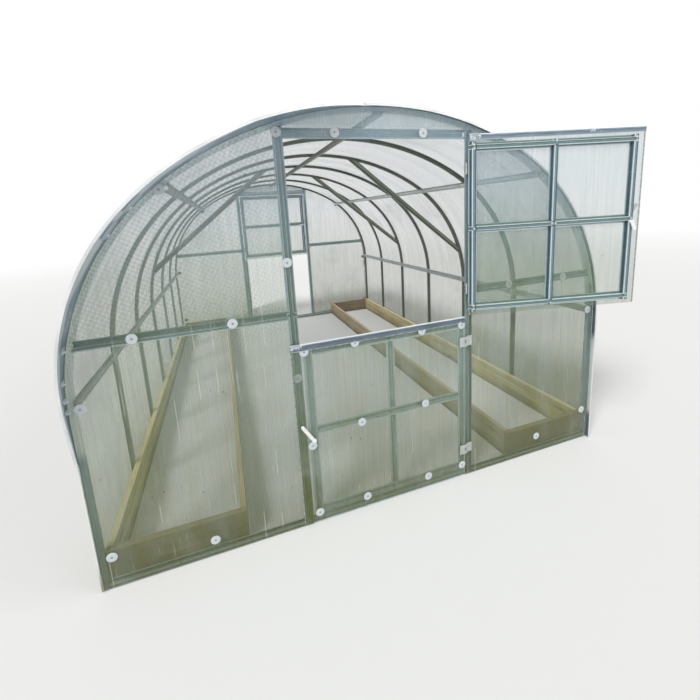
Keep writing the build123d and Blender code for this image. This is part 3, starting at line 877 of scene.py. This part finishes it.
class GREENHOUSE_OT_edge_strips(Operator):
    """Creased metal strip round the front and the rear edge of the cover"""

    bl_idname = "greenhouse.edge_strips"
    bl_label = "Build edge strips"

    def band(self, depth, sizes):
        """A band under the cover's edge, swept round the arch line from foot to foot."""
        x = HALF - sizes.gap
        parts = 6
        obj = chain([(x, STRIP_BACK - depth + depth * k / parts, FOOT) for k in range(parts + 1)])
        pick_all()
        leg = (LEG_HEIGHT - FOOT) / sizes.steps
        for _ in range(sizes.steps):
            extrude(0, 0, leg)
        shoulder = math.ceil(SHOULDER_RADIUS * TURN / leg)
        crown = math.ceil(CROWN_RADIUS * (math.pi - 2 * TURN) / leg)
        for centre, angle, steps in (
            ((SHOULDER_X, 0, LEG_HEIGHT), TURN, shoulder),
            ((0, 0, CROWN_Z), math.pi - 2 * TURN, crown),
            ((-SHOULDER_X, 0, LEG_HEIGHT), TURN, shoulder),
        ):
            bpy.ops.mesh.spin(steps=steps, angle=angle, center=centre, axis=(0, 1, 0))
        for _ in range(sizes.steps):
            extrude(0, 0, -leg)
        pick_all()
        bpy.ops.mesh.remove_doubles(threshold=0.00001)
        bpy.ops.mesh.subdivide(number_cuts=1)
        return obj

    def cut(self, obj, test, point, normal):
        """Cuts the faces that pass the test along a plane and drops what lies beyond it."""
        pick(obj, lambda face: test(face.calc_center_median()))
        bpy.ops.mesh.bisect(plane_co=point, plane_no=normal, clear_outer=True)

    def front_outline(self, obj, sizes):
        """Cuts the band to the cover's front edge: upright on the right, slanted on the crown, leaning on the left."""
        shoulder, right = FRONT - sizes.shoulder, FRONT - sizes.right
        taper = (right - shoulder, TAPER_WIDE - TAPER_NARROW, 0)
        for point, normal in (
            ((TAPER_NARROW, 0, 0), (1, 0, 0)), ((TAPER_WIDE, 0, 0), (1, 0, 0)), ((0, 0, LEAN_HIGH), (0, 0, 1)),
        ):
            pick_all()
            bpy.ops.mesh.bisect(plane_co=point, plane_no=normal)
        for test, point, normal in (
            (lambda c: c.x > TAPER_NARROW, (0, right, 0), (0, -1, 0)),
            (lambda c: TAPER_WIDE < c.x < TAPER_NARROW, (TAPER_WIDE, shoulder, 0), taper),
            (lambda c: c.x < TAPER_WIDE and c.z > LEAN_HIGH, (0, shoulder, 0), (0, -1, 0)),
            (lambda c: c.x < TAPER_WIDE and c.z < LEAN_HIGH,
             (0, FRONT - FOOT_REACH, LEAN_LOW), (0, -LEAN_RISE, -LEAN_REACH)),
            (lambda c: c.x < TAPER_WIDE and c.z < 1.2, (0, 0, sizes.low_end), (0, 0, -1)),
        ):
            self.cut(obj, test, point, normal)

    def lip(self, obj, sizes):
        """Folds the front of the band out over the cut edge of the cover."""
        verts = bmesh.from_edit_mesh(obj.data).verts
        ends = {round(min(v.co.z for v in verts if v.co.x * side > 0), 4) for side in (1, -1)}

        def along_front(edge):
            at_end = any(all(abs(v.co.z - z) < 0.0006 for v in edge.verts) for z in ends)
            return edge.is_boundary and not at_end and any(v.co.y < STRIP_BACK - 0.0015 for v in edge.verts)

        pick(obj, along_front, "edges")
        extrude(0, -0.0012, 0)
        extrude(0, 0, 0)
        mesh = bmesh.from_edit_mesh(obj.data)
        mesh.verts.index_update()
        rows = {}
        for v in mesh.verts:
            if v.select:
                rows.setdefault(arch_zone(v.co), set()).add(v.index)
        amount = sizes.gap - 0.0004
        for zone, members in rows.items():
            pick(obj, lambda v: v.index in members, "verts")
            if zone in CENTRES:
                centre, radius = CENTRES[zone]
                factor = 1 + amount / (radius - sizes.gap)
                bpy.ops.transform.resize(value=(factor, 1, factor), center_override=centre)
            else:
                bpy.ops.transform.translate(value=(amount if zone == "right leg" else -amount, 0, 0))
        return set().union(*rows.values())

    def strip(self, name, depth, sizes, turned):
        """The finished strip: band, outline, lip, soft dents and the thickness of the metal."""
        obj = self.band(depth - SHEET - 0.001, sizes)
        if not turned:
            self.front_outline(obj, sizes)
        put_in_order(obj)
        pick_all()
        bpy.ops.mesh.remove_doubles(threshold=0.0004)
        bpy.ops.mesh.normals_make_consistent(inside=True)
        outer = self.lip(obj, sizes)
        pick(obj, lambda face: any(v.index in outer for v in face.verts))
        obj.data.materials.append(self.tape)
        obj.data.materials.append(self.bright)
        obj.active_material_index = 1
        bpy.ops.object.material_slot_assign()

        def away_from_rims(vertex):
            inner = vertex.co.y < STRIP_BACK - 0.003 and vertex.index not in outer
            return inner and not any(edge.is_boundary for edge in vertex.link_edges)

        dent(obj, "skin", away_from_rims, noise_texture(name + "_dents", 0.16, 2), sizes.dent, 0.30)
        use_modifier(obj, "SOLIDIFY", thickness=STRIP_METAL, offset=0.0)
        if turned:
            obj.matrix_world = TO_REAR @ obj.matrix_world
        return obj

    def flap(self, height, depth, length, lift):
        """The loose end of one length of strip, which lies over the next one and stands off it at its corner."""
        clear()
        bpy.ops.mesh.primitive_grid_add(x_subdivisions=8, y_subdivisions=8, size=1)
        obj = bpy.context.object
        edit()
        bpy.ops.transform.resize(value=(length, depth, 1), center_override=(0, 0, 0))
        for part in (0.1, 0.2, 0.3, 0.4):
            pick(obj, lambda v: v.co.x < length * (0.5 - 1.0 + part), "verts")
            bpy.ops.transform.translate(value=(0, 0, lift * 0.25))
        pick(obj, lambda v: v.co.x < -length * 0.36 and v.co.y < -depth * 0.1, "verts")
        bpy.ops.transform.translate(value=(length * 0.10, 0, lift * 0.9))
        pick(obj, lambda v: v.co.x < -length * 0.24 and v.co.y < -depth * 0.34, "verts")
        bpy.ops.transform.translate(value=(length * 0.06, depth * 0.05, lift * 0.7))
        edit(False)
        use_modifier(obj, "SOLIDIFY", thickness=STRIP_METAL, offset=0.0)
        point, out = arch_side(0.0150, height)
        lean = min(max((height - LEAN_LOW) / LEAN_RISE, 0.0), 1.0) * LEAN_REACH + FOOT_REACH
        place = Vector((-point.x, FRONT - lean + depth / 2 + 0.003, point.z))
        up = Vector((out.z, 0.0, out.x))
        inward = Vector((out.x, 0.0, -out.z))
        obj.matrix_world = Matrix.Translation(place) @ Matrix((up, inward.cross(up), inward)).transposed().to_4x4()
        return obj

    def execute(self, context):
        sizes = context.scene.edge_sizes
        looks = context.scene.steel_looks

        def shade_in(f, x, y, z):
            """Painted shade deep under the cover and painted shadow along two folds, painted highlights along its
            outside and on the right leg.
            """
            left = f.ease(x, TAPER_WIDE, -0.72)
            lean = painted_reach(f, z)
            inward = (y - FRONT + lean) / lean
            dark = f.ease(y, FRONT - 0.045, FRONT - 0.010) * f.ease(y, REAR + 0.075, REAR + 0.012) * 1.4
            for end in (1.700, 1.600):
                run = (end - z) / 0.085
                fold = f.ease(f.maths("ABSOLUTE", inward + run - 1.0), 0.12, 0.05)
                dark = dark + fold * f.ease(run, 0.0, 0.05) * f.ease(run, 1.0, 0.9) * left
            lit = f.ease(inward, 0.52, 0.36) * f.ease(z, 1.38, 1.50) * f.ease(z, 1.98, 1.88)
            bright = (lit + f.ease(inward, 0.16, 0.08) * 0.8) * left
            bright = bright + f.ease(x, 1.30, 1.40) * f.ease(z, 0.78, 0.70) * f.ease(z, 0.16, 0.22)
            return f.clamp(dark, 0.0, 1.4), f.clamp(bright, 0.0, 1.0)

        self.tape = creased_tape("creased_zinc_strip", looks.strip, looks, shade_in)
        # The lip is a pale copy of the strip's zinc: a painted highlight along the outer edge of the strip
        self.bright = creased_tape("bright_zinc_lip", (0.80, 0.85, 0.88), looks, creased=0.3)
        front = self.strip("front_edge_strip", sizes.shoulder, sizes, False)
        settle(front, "front_edge_strip", "house", None, ["front_trim"], 25.0)
        rear = self.strip("rear_edge_strip", sizes.rear, sizes, True)
        settle(rear, "rear_edge_strip", "house", None, ["rear_trim"], 25.0)
        # The flaps are a lighter copy of the strip's zinc: painted light on the raised loose ends
        flaps = creased_tape("creased_zinc_flaps", (0.56, 0.65, 0.72), looks)
        for number, row in enumerate(FLAPS):
            settle(self.flap(*row), f"strip_flap_{number + 1}", "house", flaps, (), 25.0)
        return {"FINISHED"}


class GREENHOUSE_OT_washers(Operator):
    """White washers with a screw each on gables, leaves and cover"""

    bl_idname = "greenhouse.washers"
    bl_label = "Build washers"

    def washer(self, sizes, plastic, zinc):
        """A low dome inside a raised ring, with a screw head sunk in its middle."""
        radius = sizes.washer / 2
        rise = sizes.washer_rise
        clear()
        bpy.ops.mesh.primitive_cylinder_add(vertices=24, radius=radius, depth=rise * 0.5, location=(0, 0, rise * 0.25))
        disc = bpy.context.object
        disc.data.materials.append(plastic)
        disc.data.materials.append(zinc)
        edit()
        pick(disc, lambda f: f.normal.z > 0.9)
        for width, height in (
            (0.10, 0.28), (0.10, 0.12), (0.09, -0.16), (0.22, 0.20),
            (0.22, 0.06), (0.05, -0.40), (0.04, 0.0), (0.02, 0.32),
        ):
            bpy.ops.mesh.inset(thickness=radius * width, depth=rise * height)
        pick(disc, lambda f: f.normal.z > 0.9 and f.calc_center_median().to_2d().length < radius * 0.2)
        disc.active_material_index = 1
        bpy.ops.object.material_slot_assign()
        pick(disc, lambda f: f.normal.z < -0.9)
        bpy.ops.mesh.delete(type="FACE")
        edit(False)
        return disc

    def on_gable(self, points, depth, matrix):
        return [matrix @ facing((x, FRONT - depth, z), (0, -1, 0)) for x, z in points]

    def execute(self, context):
        sizes = context.scene.fitting_sizes
        looks = context.scene.steel_looks
        plastic = white_plastic("washer_plastic", sizes.pale)
        zinc = galvanised("zinc_on_screws", shade(looks.gable, 0.6), looks, metal=0.7)
        template = self.washer(sizes, plastic, zinc)
        leaf_face = FRONT - DOOR_LOW.y
        rows = [
            ("front_gable_washers", "house", self.on_gable(GABLE_WASHERS, SHEET, AS_BUILT)),
            ("rear_gable_washers", "house", self.on_gable(GABLE_WASHERS, SHEET, TO_REAR)),
        ]
        for leaf, matrix in LEAVES.items():
            points = LOWER_WASHERS if "lower" in leaf else UPPER_WASHERS
            rows.append((leaf.replace("_door", "_leaf_washers"), leaf, self.on_gable(points, leaf_face, matrix)))
        cover = []
        for y in (ARCH_YS[0], ARCH_YS[3], ARCH_YS[6]):
            for height in (0.10, 0.50, SIDE_PURLIN_Z, 1.40, 1.815):
                point, out = arch_side(0.0035, height)
                for sign in (1, -1):
                    cover.append(facing((sign * point.x, y, point.z), (sign * out.x, 0, out.z)))
        rows.append(("cover_washers", "house", cover))
        for name, body, places in rows:
            settle(spread(template, places), name, body, None)
        bpy.data.objects.remove(template)
        return {"FINISHED"}


class GREENHOUSE_OT_screws(Operator):
    """Small screws at the joints of the frame, the leaves and the purlins"""

    bl_idname = "greenhouse.screws"
    bl_label = "Build screws"

    def screw(self, sizes):
        """A flanged head: a disc, stepped up and bevelled."""
        radius = sizes.screw / 2
        clear()
        bpy.ops.mesh.primitive_cylinder_add(vertices=12, radius=radius, depth=0.0014, location=(0, 0, 0.0007))
        head = bpy.context.object
        edit()
        pick(head, lambda f: f.normal.z > 0.9)
        bpy.ops.mesh.inset(thickness=radius * 0.3, depth=0.0003)
        extrude(0, 0, 0.0028)
        bpy.ops.mesh.inset(thickness=radius * 0.12, depth=0.0005)
        pick(head, lambda f: f.normal.z < -0.9)
        bpy.ops.mesh.delete(type="FACE")
        edit(False)
        return head

    def execute(self, context):
        sizes = context.scene.fitting_sizes
        looks = context.scene.steel_looks
        zinc = galvanised("zinc_on_small_screws", shade(looks.purlin, 1.15), looks, metal=0.9)
        template = self.screw(sizes)
        inward = (0, 1, 0)
        leaf_back = FRONT + 0.011
        rows = []
        for leaf, matrix in LEAVES.items():
            low, middle, high = LEAF_RAILS[half_of(leaf)]
            points = [(s * STILE_X, z + shift) for s in (-1, 1) for z in (low, high) for shift in (-0.01, 0.01)]
            points += [(-STILE_X, middle), (STILE_X, middle)]
            if leaf.startswith("front"):
                points += [(0.0, low - 0.01), (0.0, high + 0.01), (-0.01, middle), (0.01, middle)]
            places = [matrix @ facing((x, leaf_back, z), inward) for x, z in points]
            rows.append((leaf.replace("_door", "_leaf_screws"), leaf, places))
        heights = (1.17, 1.19, 2.018, 2.038, 0.03)
        gable_places = [facing((side * 0.511, FRONT + HAT_DEPTH, z), inward) for side in (-1, 1) for z in heights]
        purlins = []
        for y in ARCH_YS:
            for sign in (1, -1):
                for height in (SIDE_PURLIN_Z, 1.812):
                    point, out = arch_side(PURLIN_FACE, height)
                    for shift in (-0.008, 0.008):
                        purlins.append(facing((sign * point.x, y + shift, point.z), (-sign * out.x, 0, -out.z)))
                purlins.append(facing((0, y + sign * 0.008, TOP - PURLIN_FACE), (0, 0, -1)))
        rows += [
            ("front_gable_screws", "house", gable_places),
            ("rear_gable_screws", "house", [TO_REAR @ place for place in gable_places]),
            ("purlin_screws", "house", purlins),
        ]
        for name, body, places in rows:
            settle(spread(template, places), name, body, zinc)
        bpy.data.objects.remove(template)
        return {"FINISHED"}


class GREENHOUSE_OT_hems(Operator):
    """Metal fold over the top edge of each leaf's sheet, with crumpled pieces on the two front leaves"""

    bl_idname = "greenhouse.hems"
    bl_label = "Build leaf hems"

    def hem(self, name, x0, top, outside, inside, seed, matrix):
        """A fold drawn in section at one end, stretched along the edge, creased outside and thickened."""
        x1 = DOOR_HIGH.x - 0.002
        front = DOOR_LOW.y - 0.0010
        back = DOOR_HIGH.y + 0.0006
        section = (
            (front - 0.0012, top - outside), (front - 0.0004, top - outside * 0.55), (front, top - 0.001),
            (front + 0.001, top + 0.0008), (back - 0.001, top + 0.0008), (back, top - 0.001),
            (back + 0.0002, top - inside * 0.55), (back + 0.0004, top - inside),
        )
        obj = chain([(x0, y, z) for y, z in section])
        pick_all()
        parts = 60
        for _ in range(parts):
            extrude((x1 - x0) / parts, 0, 0)
        pick_all()
        bpy.ops.mesh.normals_make_consistent(inside=False)
        pick(obj, lambda v: v.co.y < front and v.co.z < top - outside * 0.9, "verts")
        bpy.ops.transform.vertex_random(offset=0.0016, uniform=1.0, normal=0.0, seed=seed)
        pick(obj, lambda v: v.co.y > back and v.co.z < top - inside * 0.9, "verts")
        bpy.ops.transform.vertex_random(offset=0.0004, uniform=1.0, normal=0.0, seed=seed)
        on_outside = lambda v: v.co.y < front + 0.0002 and v.co.z < top - 0.003
        dent(obj, "sides", on_outside, noise_texture(name + "_creases", 0.05, 1), 0.004, 0.35)
        use_modifier(obj, "SOLIDIFY", thickness=0.0007, offset=0.0)
        obj.matrix_world = matrix @ obj.matrix_world
        return obj

    def corner(self, centre, width, height, rough, seed, matrix):
        """A crumpled end of the fold: a small sheet with deep creases."""
        clear()
        bpy.ops.mesh.primitive_grid_add(x_subdivisions=9, y_subdivisions=5, size=1, rotation=(math.pi / 2, 0, 0))
        obj = bpy.context.object
        bpy.ops.object.transform_apply(location=True, rotation=True, scale=True)
        edit()
        bpy.ops.transform.resize(value=(width, 1, height), center_override=(0, 0, 0))
        bpy.ops.transform.vertex_random(offset=rough, uniform=1.0, normal=0.0, seed=seed)
        bpy.ops.transform.translate(value=tuple(centre))
        edit(False)
        use_modifier(obj, "SOLIDIFY", thickness=0.0008, offset=0.0)
        obj.matrix_world = matrix @ obj.matrix_world
        return obj

    def execute(self, context):
        looks = context.scene.steel_looks
        for number, (leaf, matrix) in enumerate(LEAVES.items()):
            half = half_of(leaf)
            lower = half == "lower"
            top = DOOR_HIGH.z if lower else LEAF_TOP
            x0 = FREE_EDGES[half] - 0.001
            outside, inside = (0.034, 0.016) if lower else (0.016, 0.030)

            def lines(f, x, y, z):
                """Painted highlights along the fold at the top and thin along its lower rims, and painted shade below
                the fold and along one wavy crease.
                """
                bright = f.ease(z, top - 0.0048, top - 0.0034)
                for drop, far, near in ((outside, 0.013, 0.015), (inside, 0.015, 0.013)):
                    rim = f.ease(z, top - drop + 0.003, top - drop + 0.001)
                    bright = bright + rim * f.ease(y, FRONT - far, FRONT - near) * 0.7
                wave = f.noise(f.vector(x * 9.0, 0.0, 0.0), 1.0, 3.0) - 0.5
                crease = f.ease(f.maths("ABSOLUTE", z - (top - 0.013) - wave * 0.026), 0.0050, 0.0028)
                dark = f.ease(z, top - 0.006, top - 0.016) * 0.5 + crease * (0.5 if lower else 1.0)
                return f.clamp(dark, 0.0, 1.0), f.clamp(bright, 0.0, 1.0)

            colour = shade(looks.strip, 0.62 if lower else 0.95)
            tape = creased_tape("creased_zinc_" + leaf, colour, looks, lines, 0.5, matrix)
            name = leaf.replace("_door", "_leaf_hem")
            piece = self.hem(name, x0, top, outside, inside, 3 + number, matrix)
            settle(piece, name, leaf, tape, (), 25.0)

        def crumpled(f, x, y, z):
            """Painted shade in the hollows and painted highlights on the ridges of the crumpled ends."""
            folds = f.noise(f.vector((x + y) * 75.0, 0.0, z * 120.0), 1.0, 3.0, 0.6, 0.8)
            return f.ease(folds, 0.48, 0.42), f.ease(folds, 0.56, 0.61)

        # A lighter copy of the strip's zinc, with painted shade and painted highlights on its folds
        bright = creased_tape("bright_zinc_corner", (0.50, 0.57, 0.62), looks, crumpled, 1.0)
        low_end = (FREE_EDGES["lower"] + 0.028, DOOR_LOW.y - 0.004, DOOR_HIGH.z - 0.010)
        high_end = (0.440, DOOR_HIGH.y + 0.0026, LEAF_TOP - 0.020)
        high_kink = (-0.215, DOOR_HIGH.y + 0.0010, LEAF_TOP - 0.010)
        for half, part, centre, width, height, rough in (
            ("lower", "corner", low_end, 0.060, 0.020, 0.0035),
            ("upper", "corner", high_end, 0.060, 0.036, 0.0014),
            ("upper", "kink", high_kink, 0.030, 0.014, 0.0003),
        ):
            name, leaf = f"front_{half}_leaf_{part}", f"front_{half}_door"
            piece = self.corner(centre, width, height, rough, len(name), LEAVES[leaf])
            settle(piece, name, leaf, bright, (), 20.0)
        return {"FINISHED"}


class GREENHOUSE_OT_stage(Operator):
    """Pale floor, white surroundings, soft light and the camera"""

    bl_idname = "greenhouse.stage"
    bl_label = "Set the stage"

    def floor(self, context, looks):
        """A floor that turns into the white surroundings far from the house."""
        clear()
        bpy.ops.mesh.primitive_plane_add(size=120, location=(0, 0, -0.001))
        floor = context.object
        floor.name = "studio_floor"
        f = Finish("studio_floor_paint")
        x, y, z = f.axes(f.place())
        away = f.maths("SQRT", x * x + y * y)
        matt = f.node("ShaderNodeBsdfDiffuse", {}, {"Color": shade(looks.floor)})
        white = f.node("ShaderNodeEmission", {}, {"Color": (1, 1, 1, 1), "Strength": 1.0})
        both = f.node("ShaderNodeMixShader", {}, {0: f.ease(away, 5.0, 22.0), 1: matt, 2: white})
        f.node("ShaderNodeOutputMaterial", {}, {"Surface": both})
        floor.data.materials.append(f.owner)
        return floor

    def surroundings(self, looks):
        """White where it is seen directly or mirrored, plainer as a light."""
        world = bpy.data.worlds.new("studio_surroundings")
        bpy.context.scene.world = world
        f = Finish("", world)
        kinds = ("Camera", "Glossy", "Transmission")
        rays = [f.node("ShaderNodeLightPath", {}, {}, f"Is {kind} Ray") for kind in kinds]
        seen = f.maths("MAXIMUM", rays[0], f.maths("MAXIMUM", rays[1], rays[2]))
        strength = looks.fill + seen * (1.0 - looks.fill)
        sky = f.node("ShaderNodeBackground", {}, {"Color": (1, 1, 1, 1), "Strength": strength})
        f.node("ShaderNodeOutputWorld", {}, {"Surface": sky})

    def lamp(self, name, toward, strength, spread_angle):
        bpy.ops.object.light_add(type="SUN", location=(0, 0, 6))
        lamp = bpy.context.object
        lamp.name = name
        lamp.data.energy = strength
        lamp.data.angle = math.radians(spread_angle)
        lamp.rotation_euler = Vector(toward).to_track_quat("-Z", "Y").to_euler()
        return lamp

    def camera(self, context):
        """The place, direction and lens that the measured points gave."""
        yaw, pitch, roll = 0.306876, 0.172036, -0.061667
        ahead = Vector((math.sin(yaw) * math.cos(pitch), math.cos(yaw) * math.cos(pitch), -math.sin(pitch)))
        right = Vector((math.cos(yaw), -math.sin(yaw), 0))
        up = right.cross(ahead)
        right, up = right * math.cos(roll) + up * math.sin(roll), up * math.cos(roll) - right * math.sin(roll)
        bpy.ops.object.camera_add()
        camera = context.object
        camera.name = "photo_camera"
        turn = Matrix((right, up, -ahead)).transposed().to_4x4()
        camera.matrix_world = Matrix.Translation((-0.796991, FRONT - 1.700285, 1.657962)) @ turn
        camera.data.sensor_width = 36.0
        camera.data.lens = 360.817945 / 700 * 36
        camera.data.shift_x = 0.015251
        camera.data.shift_y = -0.105806
        camera.data.clip_end = 200.0
        context.scene.camera = camera

    def execute(self, context):
        looks = context.scene.stage_looks
        floor = self.floor(context, looks)
        self.surroundings(looks)
        key = self.lamp("key_light", (0.75, 0.55, -0.95), looks.key, 18)
        side = self.lamp("side_light", (-0.8, 0.35, -0.6), looks.key * 0.22, 40)
        self.camera(context)
        context.scene.view_settings.view_transform = "Standard"
        context.scene.cycles.transparent_max_bounces = 40
        return {"FINISHED"}


class GREENHOUSE_PT_panel(Panel):
    """Lists the steps that dress the greenhouse"""

    bl_idname = "GREENHOUSE_PT_panel"
    bl_label = "Greenhouse"
    bl_space_type = "VIEW_3D"
    bl_region_type = "UI"
    bl_category = "Greenhouse"

    def draw(self, context):
        for settings in (context.scene.steel_looks, context.scene.sheet_looks, context.scene.fitting_sizes,
                         context.scene.edge_sizes, context.scene.stage_looks):
            box = self.layout.box()
            for name in settings.__annotations__:
                box.prop(settings, name)
        for operator in OPERATORS:
            self.layout.operator(operator.bl_idname)


SETTINGS = {
    "steel_looks": SteelLooks,
    "sheet_looks": SheetLooks,
    "fitting_sizes": FittingSizes,
    "edge_sizes": EdgeSizes,
    "stage_looks": StageLooks,
}
OPERATORS = (
    GREENHOUSE_OT_steel,
    GREENHOUSE_OT_sheets,
    GREENHOUSE_OT_boards,
    GREENHOUSE_OT_latches,
    GREENHOUSE_OT_edge_strips,
    GREENHOUSE_OT_washers,
    GREENHOUSE_OT_screws,
    GREENHOUSE_OT_hems,
    GREENHOUSE_OT_stage,
)


def register():
    for item in (*SETTINGS.values(), *OPERATORS, GREENHOUSE_PT_panel):
        bpy.utils.register_class(item)
    for name, item in SETTINGS.items():
        setattr(bpy.types.Scene, name, PointerProperty(type=item))


def unregister():
    for name in SETTINGS:
        delattr(bpy.types.Scene, name)
    for item in reversed((*SETTINGS.values(), *OPERATORS, GREENHOUSE_PT_panel)):
        bpy.utils.unregister_class(item)


def main():
    register()
    bpy.ops.greenhouse.steel()
    bpy.ops.greenhouse.sheets()
    bpy.ops.greenhouse.boards()
    bpy.ops.greenhouse.latches()
    bpy.ops.greenhouse.edge_strips()
    bpy.ops.greenhouse.washers()
    bpy.ops.greenhouse.screws()
    bpy.ops.greenhouse.hems()
    bpy.ops.greenhouse.stage()
    clear()


if __name__ == "__main__":
    main()
